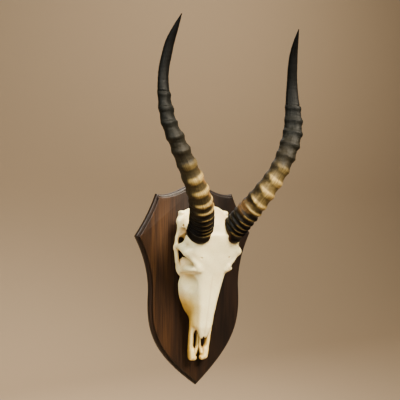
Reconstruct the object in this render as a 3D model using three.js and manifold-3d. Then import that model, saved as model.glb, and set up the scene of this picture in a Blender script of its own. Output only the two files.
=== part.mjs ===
// Blesbok skull trophy: a jawless skull with its two horns, hung nose down on a wooden shield.
// Millimetres, +Z up, +X to the right as the shield is faced. The shield's back lies in the plane y = 0
// and the skull looks out along -Y. The origin is the middle of the shield's back.
import * as THREE from "three";
import { mergeVertices } from "three/addons/utils/BufferGeometryUtils.js";
import Module from "manifold-3d";

const wasm = await Module();
wasm.setup();

// Driving dimensions of the shield
const SHIELD_HEIGHT = 400;
const SHIELD_HALF_HEIGHT = SHIELD_HEIGHT / 2;
const SHIELD_THICKNESS = 14;
const LOBE = new THREE.Vector2(127, 97);
const EAR = new THREE.Vector2(84, 177);
const WAIST = new THREE.Vector2(99, -10);
const OUTLINE_STEPS = 8;
// Moulded edge, from the back to the face: how far in from the outline, and how far out from the back
const EDGE_PROFILE = [
  [0, 0],
  [0, 6.2],
  [1.2, 8.4],
  [3.6, 9.6],
  [5, 9.9],
  [5.5, 12.8],
  [7.2, SHIELD_THICKNESS],
];

// Driving dimensions of the head. The skull's own frame is (x, u, v): x sideways, u up the board from the
// tip of the nose, v out from the board. Teeth and the back of the skull rest on the board and lift the rest.
const SKULL_LENGTH = 292;
const NOSE_HEIGHT = -145;
const HEAD_LEAN_DEG = 1.2;
const LEAN_PIVOT_HEIGHT = 100;
const HEAD_LIFT = 6;
const TOUCH_GAP = 0.4;
const SKULL_CELL = [5.8, 8.4, 5.8];
const EVEN_ROUNDS = 3;

const HORN_SIDES = 12;
const RING_HEIGHT = 3;
// Distances of the rings from the horn's root, along the horn
const RING_PLACES = [18, 28, 38, 48, 58, 70, 83, 98, 120, 145, 171, 197, 220, 246, 271, 297];

const TOOTH_LENGTHS = [9, 11, 12, 16, 18, 18];
const TOOTH_WIDTHS = [9, 11, 12, 14, 15, 14];
const TOOTH_ROW_START = [20, 98];
const TOOTH_ROW_SPLAY_DEG = 3.5;
const TOOTH_HEIGHT = 18;

const bone = new THREE.MeshStandardMaterial({ color: 0xe6dcc0, roughness: 0.6, metalness: 0 });
const enamel = new THREE.MeshStandardMaterial({ color: 0xd8c9a0, roughness: 0.4, metalness: 0 });
const horn = new THREE.MeshStandardMaterial({ color: 0x2b2823, roughness: 0.42, metalness: 0 });
const walnut = new THREE.MeshStandardMaterial({ color: 0x3f281b, roughness: 0.35, metalness: 0 });

// Solids: a geometry as a solid that can be joined and cut, and back
function solidOf(geometry) {
  const bare = new THREE.BufferGeometry();
  bare.setAttribute("position", geometry.getAttribute("position"));
  bare.setIndex(geometry.index);
  const merged = mergeVertices(bare, 1e-4);
  return new wasm.Manifold(
    new wasm.Mesh({
      numProp: 3,
      vertProperties: merged.attributes.position.array,
      triVerts: new Uint32Array(merged.index.array),
    }),
  );
}

function geometryOf(solid) {
  const mesh = solid.getMesh();
  const geometry = new THREE.BufferGeometry();
  geometry.setAttribute("position", new THREE.BufferAttribute(mesh.vertProperties, 3));
  geometry.setIndex(new THREE.BufferAttribute(mesh.triVerts, 1));
  geometry.computeVertexNormals();
  return geometry;
}

function namedMesh(name, geometry, material) {
  const mesh = new THREE.Mesh(geometry, material);
  mesh.name = name;
  return mesh;
}

// A skin over rings of points that all have the same count. Its two ends are left open.
function skinOf(rings) {
  const count = rings[0].length;
  const points = rings.flat();
  const faces = [];
  const triangle = (a, b, c) => faces.push(a, b, c);
  for (let i = 0; i + 1 < rings.length; i++) {
    for (let j = 0; j < count; j++) {
      const k = (j + 1) % count;
      const [a, b, c, d] = [i * count + j, i * count + k, (i + 1) * count + k, (i + 1) * count + j];
      triangle(a, b, c);
      triangle(a, c, d);
    }
  }
  return { points, faces, triangle };
}

function geometryFrom(points, faces) {
  const geometry = new THREE.BufferGeometry().setFromPoints(points);
  geometry.setIndex(faces);
  geometry.computeVertexNormals();
  return geometry;
}

// Shield
function shieldOutline() {
  const half = new THREE.Path();
  half.moveTo(0, SHIELD_HALF_HEIGHT);
  half.bezierCurveTo(22, 194, 52, 170, EAR.x, EAR.y);
  half.quadraticCurveTo(98.5, 137, LOBE.x, LOBE.y);
  half.bezierCurveTo(112, 67, WAIST.x, 35, WAIST.x, WAIST.y);
  half.bezierCurveTo(104, -85, 92, -127, 0, -SHIELD_HALF_HEIGHT);
  const right = half.getPoints(OUTLINE_STEPS);
  const left = right.slice(1, -1).map((p) => new THREE.Vector2(-p.x, p.y));
  return [...left, ...right.reverse()];
}

// The outline moved inwards, with its corners mitred. The outline runs anticlockwise.
function insetOutline(outline, inset) {
  const count = outline.length;
  return outline.map((p, i) => {
    const before = p.clone().sub(outline[(i + count - 1) % count]).normalize();
    const after = outline[(i + 1) % count].clone().sub(p).normalize();
    const inBefore = new THREE.Vector2(-before.y, before.x);
    const inAfter = new THREE.Vector2(-after.y, after.x);
    const mitre = inBefore.clone().add(inAfter).divideScalar(1 + inBefore.dot(inAfter));
    return p.clone().addScaledVector(mitre, inset);
  });
}

function makeShield() {
  const outline = shieldOutline();
  const rings = EDGE_PROFILE.map(([inset, out]) =>
    insetOutline(outline, inset).map((p) => new THREE.Vector3(p.x, -out, p.y)),
  );
  const skin = skinOf(rings);
  const flatBack = rings[0].map((p) => new THREE.Vector2(p.x, p.z));
  const flatFace = rings.at(-1).map((p) => new THREE.Vector2(p.x, p.z));
  const faceOffset = (rings.length - 1) * outline.length;
  for (const [a, b, c] of THREE.ShapeUtils.triangulateShape(flatBack, [])) skin.triangle(a, c, b);
  for (const [a, b, c] of THREE.ShapeUtils.triangulateShape(flatFace, [])) {
    skin.triangle(a + faceOffset, b + faceOffset, c + faceOffset);
  }
  return namedMesh("shield", geometryFrom(skin.points, skin.faces), walnut);
}

// Distance fields that the skull is sculpted from
const mix = (a, b, t) => a + (b - a) * t;
const clamp01 = (t) => Math.min(Math.max(t, 0), 1);

function blendUnion(a, b, reach) {
  const near = Math.max(reach - Math.abs(a - b), 0) / reach;
  return Math.min(a, b) - (near * near * reach) / 4;
}

const blendCut = (a, b, reach) => -blendUnion(-a, b, reach);

function ellipsoid([x, u, v], [cx, cu, cv], [rx, ru, rv]) {
  const [a, b, c] = [(x - cx) / rx, (u - cu) / ru, (v - cv) / rv];
  const near = Math.hypot(a, b, c);
  const slope = Math.hypot(a / rx, b / ru, c / rv);
  return slope > 1e-9 ? (near * (near - 1)) / slope : -Math.min(rx, ru, rv);
}

// A round bar through points [x, u, v, radius]
function bar([x, u, v], points) {
  let nearest = Infinity;
  for (let i = 0; i + 1 < points.length; i++) {
    const [a, b] = [points[i], points[i + 1]];
    const [dx, du, dv] = [b[0] - a[0], b[1] - a[1], b[2] - a[2]];
    const along = ((x - a[0]) * dx + (u - a[1]) * du + (v - a[2]) * dv) / (dx * dx + du * du + dv * dv);
    const t = clamp01(along);
    const gap = Math.hypot(x - a[0] - t * dx, u - a[1] - t * du, v - a[2] - t * dv);
    nearest = Math.min(nearest, gap - mix(a[3], b[3], t));
  }
  return nearest;
}

// Cross-sections of the face: u, half width low down, half width on top, underside v, top v
const FACE_SECTIONS = [
  [50, 9, 7, 21, 30],
  [62, 18, 11.5, 11, 34.8],
  [84, 24, 15, 8, 40.5],
  [102, 35, 16, 4, 45],
  [122, 41.5, 18, 1, 49.5],
  [148, 45, 22.5, 1, 55.5],
  [167, 41.5, 28, 4, 61],
  [183, 43, 34, 10, 66.5],
  [200, 46, 43, 16, 72],
  [217, 46, 55, 20, 76],
  [240, 43, 43, 20, 80],
];
// Fall of the forehead from its middle to its edge, as a share of its half width
const CROWN = 0.12;
// How softly the cheeks turn into the forehead and into the underside
const TOP_ROUNDING = 12;
const UNDERSIDE_ROUNDING = 5;

// A smooth run through the sections, column by column
function faceSection(u) {
  const last = FACE_SECTIONS.length - 1;
  let i = 0;
  while (i < last - 1 && FACE_SECTIONS[i + 1][0] < u) i++;
  const [a, b] = [FACE_SECTIONS[i], FACE_SECTIONS[i + 1]];
  const [before, after] = [FACE_SECTIONS[Math.max(i - 1, 0)], FACE_SECTIONS[Math.min(i + 2, last)]];
  const gap = b[0] - a[0];
  const t = clamp01((u - a[0]) / gap);
  return a.map((value, j) => {
    const slopeA = ((b[j] - before[j]) / (b[0] - before[0])) * gap;
    const slopeB = ((after[j] - a[j]) / (after[0] - a[0])) * gap;
    const step = b[j] - value;
    return value + t * (slopeA + t * (3 * step - 2 * slopeA - slopeB + t * (slopeA + slopeB - 2 * step)));
  });
}

function face([x, u, v]) {
  const [, halfLow, halfTop, low, top] = faceSection(u);
  const splay = (halfLow - halfTop) / (top - low);
  const side = (x - halfLow + splay * (v - low)) / Math.hypot(1, splay);
  const crown = CROWN * halfTop * (x / halfTop) ** 2;
  const upper = -blendUnion(-side, top - crown - v, TOP_ROUNDING);
  const whole = -blendUnion(-upper, v - low, UNDERSIDE_ROUNDING);
  return Math.max(whole, FACE_SECTIONS[0][0] - u, u - FACE_SECTIONS.at(-1)[0]);
}

// The sculpted skull as a distance field. Both halves are alike, so x is taken as its size.
function skullField(point) {
  const p = [Math.abs(point[0]), point[1], point[2]];
  let d = face(p);
  // eye sockets and the gaps behind them
  d = blendCut(d, ellipsoid(p, [58, 194, 41], [34, 18, 24]), 7);
  const slanted = [p[0], p[1] - (p[2] - 34) * 0.4, (p[2] - 34) * 0.28];
  d = blendCut(d, bar(slanted, [[64, 228, 0, 9], [46, 244, 0, 8]]), 6);
  // braincase, temples and the pedicles that carry the horns
  d = blendUnion(d, blendCut(ellipsoid(p, [0, 253, 34], [42, 46, 48]), p[2] - 14, 10), 14);
  d = blendUnion(d, ellipsoid(p, [42, 259, 28], [14, 20, 22]), 10);
  d = blendUnion(d, bar(p, [[29, 240, 54, 18], [34, 253, 65, 20]]), 12);
  d = blendUnion(d, ellipsoid(p, [45, 237, 58], [14, 13, 13]), 8);
  // nuchal crest and the back of the skull
  d = blendUnion(d, bar(p, [[0, 296, 27, 6], [26, 291, 23, 6], [46, 281, 19, 6], [51, 270, 19, 6]]), 8);
  d = blendUnion(d, bar(p, [[9, 280, 14, 9], [13, 290, 11, 8]]), 8);
  d = blendUnion(d, bar(p, [[38, 270, 22, 8], [33, 276, -2, 6.5]]), 6);
  d = blendUnion(d, bar(p, [[0, 280, 16, 11], [0, 215, 18, 10]]), 10);
  d = blendUnion(d, ellipsoid(p, [25, 254, 12], [10, 14, 10]), 6);
  // brow, and the plate behind the eye
  d = blendUnion(d, bar(p, [[30, 181, 57, 4], [41, 196, 60, 5], [53, 213, 57, 8]]), 10);
  d = blendUnion(d, bar(p, [[53, 213, 57, 8], [57, 219, 42, 7], [56, 220, 20, 5]]), 9);
  // cheek bones and zygomatic arches
  const archFront = [53.5, 194, 17, 4.8];
  const archMiddle = [56, 218, 18, 4.6];
  d = blendUnion(d, bar(p, [[36, 156, 14, 7], [44, 173, 16, 5.6], archFront, archMiddle]), 5);
  d = blendUnion(d, bar(p, [archMiddle, [55.5, 238, 20, 4.6], [50, 258, 24, 6]]), 5);
  // upper jaw over the teeth, the vault of the palate and the hollow behind it
  d = blendUnion(d, bar(p, [[22, 104, 12, 6], [29, 150, 12, 9], [32, 186, 15, 8]]), 8);
  d = blendCut(d, ellipsoid(p, [0, 140, 2], [18, 74, 13]), 6);
  d = blendCut(d, ellipsoid(p, [0, 210, 4], [15, 24, 12]), 5);
  // hollow in front of the eye, and the ridge between it and the socket
  d = blendCut(d, ellipsoid(p, [46, 160, 36], [25, 16, 25]), 5);
  d = blendUnion(d, bar(p, [[42, 176, 20, 5], [39, 177, 34, 4.6]]), 5);
  d = blendUnion(d, ellipsoid(p, [36, 179.5, 40], [12, 6, 21]), 4);
  // nose: opening under the nasal bones, then the two bones that reach past it
  d = blendCut(d, ellipsoid(p, [0, 56, 19], [14, 40, 9.5]), 4);
  const flat = [p[0] / 1.6, p[1], p[2]];
  d = blendUnion(d, bar(flat, [[4.6, 96, 34, 4.8], [4.2, 68, 31.5, 5], [3.4, 52, 29, 3.4]]), 4);
  // front of the upper jaw: a bar on each side, and the middle rods between them
  const noseEnd = [14.5, 7, 7, 6.4];
  d = blendUnion(d, bar(p, [[16, 98, 20, 6], [18.5, 57, 16, 6.4], [17.5, 28, 10, 6], noseEnd]), 6);
  d = blendUnion(d, bar(p, [noseEnd, [8.5, 4.5, 6.5, 5.6]]), 4);
  d = blendUnion(d, bar(p, [[3.4, 78, 10, 4.6], [3.2, 36, 7.5, 4.4], [7, 9, 6.5, 4.4]]), 2);
  return d;
}

// Closed mesh of a field's zero level: one corner in each grid cell that the surface crosses, and one
// quad across each grid edge that it crosses. The corners are then evened out along the surface.
function meshOfField(field, low, high, cell) {
  const size = low.map((a, i) => Math.ceil((high[i] - a) / cell[i]) + 1);
  const at = (i, j, k) => (i * size[1] + j) * size[2] + k;
  const place = (i, j, k) => [low[0] + i * cell[0], low[1] + j * cell[1], low[2] + k * cell[2]];
  const value = new Float64Array(size[0] * size[1] * size[2]);
  const eachNode = (visit) => {
    for (let i = 0; i < size[0]; i++)
      for (let j = 0; j < size[1]; j++) for (let k = 0; k < size[2]; k++) visit(i, j, k);
  };
  eachNode((i, j, k) => (value[at(i, j, k)] = field(place(i, j, k))));

  const corners = [0, 1, 2, 3, 4, 5, 6, 7].map((n) => [n & 1, (n >> 1) & 1, (n >> 2) & 1]);
  const edges = corners.flatMap((a, n) =>
    [0, 1, 2].filter((axis) => !a[axis]).map((axis) => [n, n | (1 << axis)]),
  );
  const index = new Map();
  let points = [];
  eachNode((i, j, k) => {
    if (i + 1 === size[0] || j + 1 === size[1] || k + 1 === size[2]) return;
    const values = corners.map(([a, b, c]) => value[at(i + a, j + b, k + c)]);
    const crossed = edges.filter(([a, b]) => values[a] < 0 !== values[b] < 0);
    if (!crossed.length) return;
    // inner corners that touch along the cell's edges share one surface corner
    const group = corners.map((_, n) => n);
    const inner = edges.filter(([a, b]) => values[a] < 0 && values[b] < 0);
    for (let round = 0; round < 4; round++)
      for (const [a, b] of inner) group[a] = group[b] = Math.min(group[a], group[b]);
    for (const name of new Set(group.filter((_, n) => values[n] < 0))) {
      const mine = crossed.filter(([a, b]) => group[values[a] < 0 ? a : b] === name);
      if (!mine.length) continue;
      const sum = [0, 0, 0];
      for (const [a, b] of mine) {
        const t = values[a] / (values[a] - values[b]);
        corners[a].forEach((c, axis) => (sum[axis] += mix(c, corners[b][axis], t)));
      }
      group.forEach((g, n) => {
        if (g === name) index.set(at(i, j, k) * 8 + n, points.length);
      });
      points.push(place(i, j, k).map((c, axis) => c + (sum[axis] / mine.length) * cell[axis]));
    }
  });

  const faces = [];
  const joined = points.map(() => new Set());
  const steps = [at(1, 0, 0), at(0, 1, 0), at(0, 0, 1)];
  eachNode((i, j, k) => {
    const here = at(i, j, k);
    steps.forEach((step, axis) => {
      if ([i, j, k][axis] + 1 >= size[axis]) return;
      const inside = value[here] < 0;
      if (inside === value[here + step] < 0) return;
      const [p, q] = [(axis + 1) % 3, (axis + 2) % 3];
      const end = inside ? 0 : 1 << axis;
      const quad = [[1, 1], [0, 1], [0, 0], [1, 0]].map(([a, b]) => {
        const corner = end | (a << p) | (b << q);
        return index.get((here - a * steps[p] - b * steps[q]) * 8 + corner);
      });
      const [a, b, c, d] = quad;
      faces.push(...(inside ? [a, b, c, a, c, d] : [a, c, b, a, d, c]));
      quad.forEach((corner, n) => joined[corner].add(quad[(n + 1) % 4]).add(quad[(n + 3) % 4]));
    });
  });

  const limit = Math.min(...cell) / 2;
  for (let round = 0; round < EVEN_ROUNDS; round++) {
    points = points.map((p, i) => {
      const mean = [0, 0, 0];
      for (const other of joined[i]) points[other].forEach((c, axis) => (mean[axis] += c));
      const evened = p.map((c, axis) => mix(c, mean[axis] / joined[i].size, 0.5));
      return drawnOnto(field, evened, limit);
    });
  }
  return { points: points.map((p) => drawnOnto(field, p, limit)), faces };
}

// A point moved along the field's slope towards its zero level, by no more than a limit
function drawnOnto(field, start, limit) {
  const step = 0.2;
  const d = field(start);
  const slope = [0, 1, 2].map((axis) => {
    const ahead = start.map((c, i) => (i === axis ? c + step : c));
    return (field(ahead) - d) / step;
  });
  const steep = Math.max(slope[0] ** 2 + slope[1] ** 2 + slope[2] ** 2, 0.2);
  const move = Math.min(Math.max(d / steep, -limit), limit);
  return start.map((c, axis) => c - slope[axis] * move);
}

// From the skull's frame to the head's frame: the lean pivots about the head's origin
function headPoint(x, u, v) {
  const out = SHIELD_THICKNESS + TOUCH_GAP + HEAD_LIFT + v;
  return new THREE.Vector3(x, -out, u + NOSE_HEIGHT - LEAN_PIVOT_HEIGHT);
}

function skullGeometry() {
  const [across, up, out] = SKULL_CELL;
  const low = [-14 * across, -2 * up, -2 * out];
  const high = [14 * across, SKULL_LENGTH + 4 * up, 100 + 2 * out];
  const { points, faces } = meshOfField(skullField, low, high, SKULL_CELL);
  return geometryFrom(points.map(([x, u, v]) => headPoint(x, u, Math.max(v, -HEAD_LIFT))), faces);
}

// A geometry grown by an amount all over, along its normals
function grownGeometry(geometry, amount) {
  const grown = geometry.clone();
  const { position, normal } = grown.attributes;
  for (let i = 0; i < position.count; i++) {
    const place = new THREE.Vector3().fromBufferAttribute(position, i);
    place.addScaledVector(new THREE.Vector3().fromBufferAttribute(normal, i), amount);
    position.setXYZ(i, place.x, place.y, place.z);
  }
  return grown;
}

// Horns: points of the middle line, each with the radius between the rings
const HORN_LINE = [
  [31, 243, 54, 22.5],
  [35, 254, 70, 22],
  [39, 267, 83, 21.6],
  [51, 294, 106, 20.4],
  [67, 322, 123, 18.6],
  [93, 364, 134, 16.2],
  [115.5, 409, 134, 15.2],
  [130, 450, 126, 13.4],
  [134, 516, 115, 10],
  [129, 568, 123.5, 8.4],
  [124, 596, 137, 5.4],
  [119.5, 619, 152.5, 0.8],
];
// The two horns differ a little in length: above the bend at the root, each is stretched by its own share
const HORN_BEND = 254;
const HORN_STRETCH = { left: 0.989, right: 1.018 };

// Stations along a horn, each with how far it stands out: low and high at each ring, then smooth to the tip
function hornStations(length) {
  const stations = [[0, 0]];
  RING_PLACES.forEach((place, i) => {
    const gap = place - (RING_PLACES[i - 1] ?? 8);
    const rise = RING_HEIGHT * mix(1, 0.6, clamp01((place - 225) / 75));
    stations.push([place - 0.5 * gap, 0], [place, rise]);
  });
  const [start] = stations.at(-1);
  for (let i = 1; i <= 9; i++) stations.push([mix(start, length, i / 9), 0]);
  return stations;
}

function hornSolid(side, stretch) {
  const stretched = (u) => (u > HORN_BEND ? mix(HORN_BEND, u, stretch) : u);
  const line = new THREE.CatmullRomCurve3(
    HORN_LINE.map(([x, u, v]) => headPoint(side * x, stretched(u), v)),
    false,
    "centripetal",
  );
  const length = line.getLength();
  const rings = hornStations(length).map(([place, rise]) => {
    const along = line.getUtoTmapping(place / length);
    const middle = line.getPoint(along);
    const tangent = line.getTangent(along);
    const front = new THREE.Vector3(0, -1, 0).addScaledVector(tangent, tangent.y).normalize();
    const across = new THREE.Vector3().crossVectors(tangent, front);
    const step = Math.min(Math.floor(along * (HORN_LINE.length - 1)), HORN_LINE.length - 2);
    const part = along * (HORN_LINE.length - 1) - step;
    const radius = mix(HORN_LINE[step][3], HORN_LINE[step + 1][3], part);
    const points = [];
    for (let j = 0; j < HORN_SIDES; j++) {
      const turn = (2 * Math.PI * j) / HORN_SIDES;
      const reach = radius + rise * (0.62 + 0.38 * Math.cos(turn));
      points.push(
        middle
          .clone()
          .addScaledVector(front, reach * Math.cos(turn))
          .addScaledVector(across, reach * Math.sin(turn)),
      );
    }
    return points;
  });
  const skin = skinOf(rings);
  const last = (rings.length - 1) * HORN_SIDES;
  for (let j = 1; j + 1 < HORN_SIDES; j++) {
    skin.triangle(0, j + 1, j);
    skin.triangle(last, last + j, last + j + 1);
  }
  return solidOf(geometryFrom(skin.points, skin.faces));
}

// Upper cheek teeth of one side, joined in a row: each is a block with two rounded lobes
function toothRowSolid(side) {
  let row = null;
  let along = 0;
  TOOTH_LENGTHS.forEach((length, i) => {
    const width = TOOTH_WIDTHS[i];
    const outline = new THREE.Shape();
    const lobes = 2;
    outline.moveTo(-width / 2, 0);
    for (let n = 0; n < lobes; n++) {
      const end = ((n + 1) * length) / lobes;
      outline.quadraticCurveTo(-width * 0.62, end - length / lobes / 2, -width / 2, end);
    }
    outline.lineTo(width / 2, length);
    outline.quadraticCurveTo(width * 0.6, length / 2, width / 2, 0);
    const block = new THREE.ExtrudeGeometry(outline, {
      depth: TOOTH_HEIGHT,
      bevelEnabled: false,
      curveSegments: 2,
    });
    block.translate(0, along - 0.2, 0);
    const solid = solidOf(block);
    row = row ? row.add(solid) : solid;
    along += length - 0.4;
  });
  const splay = THREE.MathUtils.degToRad(TOOTH_ROW_SPLAY_DEG);
  const start = headPoint(side * TOOTH_ROW_START[0], TOOTH_ROW_START[1], -HEAD_LIFT);
  const place = new THREE.Matrix4().makeTranslation(start.x, start.y, start.z);
  place.multiply(new THREE.Matrix4().makeRotationY(side * splay));
  place.multiply(new THREE.Matrix4().makeRotationX(Math.PI / 2));
  return solidOf(geometryOf(row).applyMatrix4(place));
}

const skull = skullGeometry();
const clearance = solidOf(grownGeometry(skull, TOUCH_GAP));

const head = new THREE.Group();
head.position.z = LEAN_PIVOT_HEIGHT;
head.rotation.y = THREE.MathUtils.degToRad(HEAD_LEAN_DEG);
head.add(namedMesh("skull", skull, bone));
for (const [name, side] of [["left", -1], ["right", 1]]) {
  const cutHorn = hornSolid(side, HORN_STRETCH[name]).subtract(clearance);
  head.add(namedMesh(`horn_${name}`, geometryOf(cutHorn), horn));
  const cutTeeth = toothRowSolid(side).subtract(clearance);
  head.add(namedMesh(`tooth_row_${name}`, geometryOf(cutTeeth), enamel));
}

const trophy = new THREE.Group();
trophy.add(makeShield(), head);

export default trophy;
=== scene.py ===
import math

import bpy
import numpy as np
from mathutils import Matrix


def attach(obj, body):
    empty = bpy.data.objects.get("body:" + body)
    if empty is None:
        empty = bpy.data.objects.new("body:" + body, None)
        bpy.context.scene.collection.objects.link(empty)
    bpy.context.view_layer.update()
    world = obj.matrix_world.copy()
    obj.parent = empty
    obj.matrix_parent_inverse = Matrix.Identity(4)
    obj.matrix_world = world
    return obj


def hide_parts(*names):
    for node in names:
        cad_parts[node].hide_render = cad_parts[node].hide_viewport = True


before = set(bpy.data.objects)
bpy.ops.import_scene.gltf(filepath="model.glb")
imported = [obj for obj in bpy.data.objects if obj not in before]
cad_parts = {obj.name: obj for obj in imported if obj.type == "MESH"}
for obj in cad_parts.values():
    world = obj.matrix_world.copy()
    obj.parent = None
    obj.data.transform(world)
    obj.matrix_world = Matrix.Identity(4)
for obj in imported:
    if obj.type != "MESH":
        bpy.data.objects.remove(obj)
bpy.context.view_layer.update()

# Blesbok skull trophy: bone, horn and teeth are sculpted in the skull's own frame (x, u, v) in millimetres,
# with x sideways, u up the board from the tip of the nose and v out from the face of the board.
# The finished meshes are in metres, in the frame of the solids: +Z up, and the wall at y = 0.
MM = 0.001

SHIELD_HALF_HEIGHT = 200
SHIELD_THICKNESS = 14
SHIELD_EAR = (84, 177)
SHIELD_LOBE = (127, 97)
SHIELD_WAIST = (99, -10)

NOSE_HEIGHT = -145
LEAN_PIVOT_HEIGHT = 100
HEAD_LEAN = math.radians(1.2)
HEAD_LIFT = 6
TOUCH_GAP = 0.4
# Cells of the grids that the skull and the teeth are meshed on, and a distance beyond both grids
SKULL_CELL = 1.35
TOOTH_CELL = 0.76
FAR = np.float32(1e6)

# The photograph's camera: level, to the left of the trophy
CAMERA_TURN = math.radians(28)
CAMERA_DISTANCE = 1200
CAMERA_ASIDE = -12.6
CAMERA_HEIGHT = 165
FOCAL_LENGTH_IN_FRAMES = 604 / 400
SENSOR_WIDTH = 36


# Small helpers
def linear(hex_colour):
    """An sRGB hex colour as linear red, green, blue and alpha."""
    parts = [int(hex_colour[i : i + 2], 16) / 255 for i in (1, 3, 5)]
    return [c / 12.92 if c <= 0.04045 else ((c + 0.055) / 1.055) ** 2.4 for c in parts] + [1.0]


def smooth_step(low, high, value):
    """0 below low, 1 above high, and an easy slope between them. Low may be the larger one."""
    t = np.clip((value - low) / (high - low), 0, 1)
    return t * t * (3 - 2 * t)


def add_node(tree, kind, settings=None, inputs=None, stops=()):
    """Adds a node with its settings, its inputs or links and any ramp stops, and gives its outputs."""
    node = tree.nodes.new(kind)
    for name, value in (settings or {}).items():
        setattr(node, name, value)
    for name, value in (inputs or {}).items():
        socket = node.inputs[name]
        if isinstance(value, bpy.types.NodeSocket):
            tree.links.new(value, socket)
        else:
            socket.default_value = value
    if stops:
        elements = node.color_ramp.elements
        while len(elements) < len(stops):
            elements.new(0.5)
        for element, (position, colour) in zip(elements, stops):
            element.position = position
            element.color = linear(colour)
    return node.outputs


def mesh_object(name, points, faces, smooth_angle=180):
    """A plain mesh object at the origin, from points in metres."""
    mesh = bpy.data.meshes.new(name)
    mesh.from_pydata(np.asarray(points).tolist(), [], [list(f) for f in faces])
    mesh.update()
    mesh.shade_smooth()
    if smooth_angle < 180:
        mesh.set_sharp_from_angle(angle=math.radians(smooth_angle))
    made = bpy.data.objects.new(name, mesh)
    bpy.context.collection.objects.link(made)
    return made


def add_values(made, name, values):
    """Stores one number per vertex under a name that a material can read."""
    attribute = made.data.attributes.new(name, "FLOAT", "POINT")
    attribute.data.foreach_set("value", np.asarray(values, dtype=np.float32))


def finish_piece(made, node, material):
    """Hands a finished piece over: it rides with the trophy and stands for one node."""
    made.data.materials.clear()
    made.data.materials.append(material)
    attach(made, "root")
    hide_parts(node)


def to_trophy(points):
    """From the skull's frame in millimetres to the trophy's frame in metres, with the head's small lean."""
    x, u, v = np.asarray(points, dtype=float).T
    up = u + NOSE_HEIGHT - LEAN_PIVOT_HEIGHT
    leaned_x = x * math.cos(HEAD_LEAN) + up * math.sin(HEAD_LEAN)
    leaned_up = up * math.cos(HEAD_LEAN) - x * math.sin(HEAD_LEAN)
    out = SHIELD_THICKNESS + TOUCH_GAP + HEAD_LIFT + v
    return np.stack([leaned_x, -out, leaned_up + LEAN_PIVOT_HEIGHT], axis=1) * MM


def from_trophy(points):
    """The way back: from the trophy's frame in metres to the skull's frame in millimetres."""
    leaned_x, depth, height = np.asarray(points, dtype=float).T / MM
    leaned_up = height - LEAN_PIVOT_HEIGHT
    x = leaned_x * math.cos(HEAD_LEAN) - leaned_up * math.sin(HEAD_LEAN)
    up = leaned_up * math.cos(HEAD_LEAN) + leaned_x * math.sin(HEAD_LEAN)
    u = up - NOSE_HEIGHT + LEAN_PIVOT_HEIGHT
    return np.stack([x, u, -depth - SHIELD_THICKNESS - TOUCH_GAP - HEAD_LIFT], axis=1)


# Distance fields: negative inside, in millimetres
def blend_union(a, b, reach):
    near = np.maximum(reach - np.abs(a - b), 0) / reach
    return np.minimum(a, b) - near * near * reach / 4


def blend_cut(a, b, reach):
    return -blend_union(-a, b, reach)


def ellipsoid(p, centre, radii):
    scaled = [(c - middle) / r for c, middle, r in zip(p, centre, radii)]
    near = np.sqrt(sum(c * c for c in scaled))
    slope = np.sqrt(sum((c / r) ** 2 for c, r in zip(scaled, radii))) + 1e-6
    return near * (near - 1) / slope


def bar(p, points):
    """A round bar through points (x, u, v, radius)."""
    nearest = FAR
    for a, b in zip(points, points[1:]):
        span = [b[i] - a[i] for i in range(3)]
        along = sum((p[i] - a[i]) * span[i] for i in range(3)) / sum(s * s for s in span)
        t = np.clip(along, 0, 1)
        gap = np.sqrt(sum((p[i] - a[i] - t * span[i]) ** 2 for i in range(3)))
        nearest = np.minimum(nearest, gap - (a[3] + (b[3] - a[3]) * t))
    return nearest


# Cross-sections of the face: u, half width low down, half width on top, underside v, top v
FACE_SECTIONS = np.array(
    [
        [50, 9, 7, 21, 30],
        [62, 18, 11.5, 11, 34.8],
        [84, 24, 15, 8, 40.5],
        [102, 35, 16, 4, 45],
        [122, 41.5, 18, 1, 49.5],
        [148, 45, 22.5, 1, 55.5],
        [167, 41.5, 28, 4, 61],
        [183, 43, 34, 10, 66.5],
        [200, 46, 43, 16, 72],
        [217, 46, 55, 20, 76],
        [240, 43, 43, 20, 80],
    ]
)
# Fall of the forehead from its middle to its edge, as a share of its half width
CROWN = 0.12
# How softly the cheeks turn into the top of the snout, into the forehead and into the underside
SNOUT_ROUNDING = 5
FOREHEAD_ROUNDING = 12
UNDERSIDE_ROUNDING = 5
# Where the snout gives way to the forehead
FOREHEAD_START = (140, 185)
GROWN_UNEVENNESS = 0.22
# Filling of corners that touch across a diagonal: how often, and how far below zero as a share of the cell
FILL_ROUNDS = 3
FILL_DEPTH = 0.01


def smooth_run(places, table, at):
    """A smooth curve through the rows of a table, read at many places at once."""
    last = len(places) - 1
    i = np.clip(np.searchsorted(places, at, side="right") - 1, 0, last - 1)
    before, after = np.maximum(i - 1, 0), np.minimum(i + 2, last)
    gap = places[i + 1] - places[i]
    t = np.clip((at - places[i]) / gap, 0, 1)
    columns = []
    for column in table.T:
        step = column[i + 1] - column[i]
        slope_a = (column[i + 1] - column[before]) / (places[i + 1] - places[before]) * gap
        slope_b = (column[after] - column[i]) / (places[after] - places[i]) * gap
        bend = slope_a + slope_b - 2 * step
        columns.append(column[i] + t * (slope_a + t * (3 * step - 2 * slope_a - slope_b + t * bend)))
    return columns


def face(p):
    x, u, v = p
    half_low, half_top, low, top = smooth_run(FACE_SECTIONS[:, 0], FACE_SECTIONS[:, 1:], u)
    splay = (half_low - half_top) / (top - low)
    side = (x - half_low + splay * (v - low)) / np.sqrt(1 + splay * splay)
    crown = CROWN * half_top * (x / half_top) ** 2
    rounding = SNOUT_ROUNDING + (FOREHEAD_ROUNDING - SNOUT_ROUNDING) * smooth_step(*FOREHEAD_START, u)
    d = -blend_union(-side, top - crown - v, rounding)
    d = -blend_union(-d, v - low, UNDERSIDE_ROUNDING)
    return np.maximum(np.maximum(d, FACE_SECTIONS[0, 0] - u), u - FACE_SECTIONS[-1, 0])


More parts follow.
